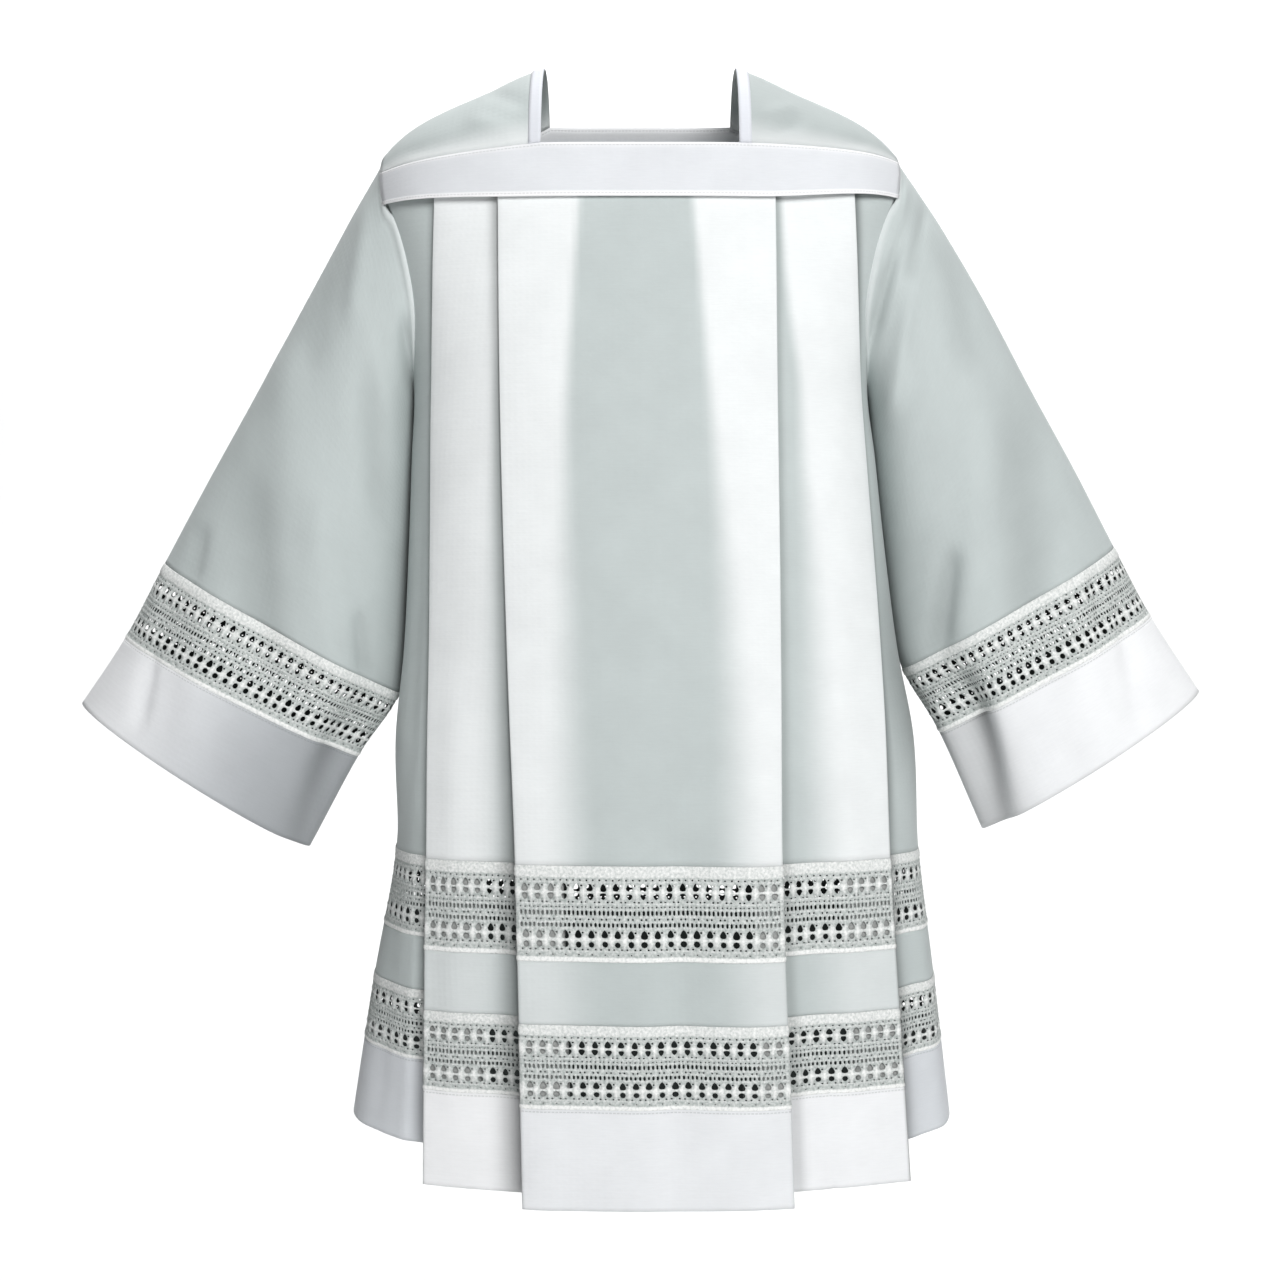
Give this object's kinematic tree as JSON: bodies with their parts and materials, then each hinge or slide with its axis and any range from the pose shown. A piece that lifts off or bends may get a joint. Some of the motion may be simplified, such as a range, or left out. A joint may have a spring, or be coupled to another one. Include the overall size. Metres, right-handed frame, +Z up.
{
  "type": "surplice",
  "caption": "White surplice worn hollow, with a square neck on a flat yoke, knife pleats, bell sleeves and bands of openwork lace in skirt and sleeves.",
  "frame": {"origin": "middle of the shoulder line, at the height of the shoulder tops beside the neck", "axes": "+Z up, -Y towards the front, +X to the viewer's right from the front"},
  "size_m": [1.0146, 0.3645, 0.983],
  "materials": {
    "single_cloth": "fine matt poplin in one layer, faintly see-through, with a close even weave",
    "doubled_cloth": "fine matt poplin in two layers, whiter, with stitched edges",
    "lace": "openwork insertion of fine cotton thread, in rows of holes between cords"
  },
  "bodies": {
    "root": {"front_panel": "single_cloth", "front_lace_upper": "lace", "front_strip": "single_cloth", "front_lace_lower": "lace", "front_hem": "doubled_cloth", "back_panel": "single_cloth", "back_lace_upper": "lace", "back_strip": "single_cloth", "back_lace_lower": "lace", "back_hem": "doubled_cloth", "yoke_front": "doubled_cloth", "yoke_back": "doubled_cloth", "shoulder_left": "single_cloth", "neck_binding_left": "doubled_cloth", "sleeve_left": "single_cloth", "sleeve_lace_left_front": "lace", "sleeve_lace_left_back": "lace", "cuff_left": "doubled_cloth", "shoulder_right": "single_cloth", "neck_binding_right": "doubled_cloth", "sleeve_right": "single_cloth", "sleeve_lace_right_front": "lace", "sleeve_lace_right_back": "lace", "cuff_right": "doubled_cloth"}
  },
  "joints": []
}
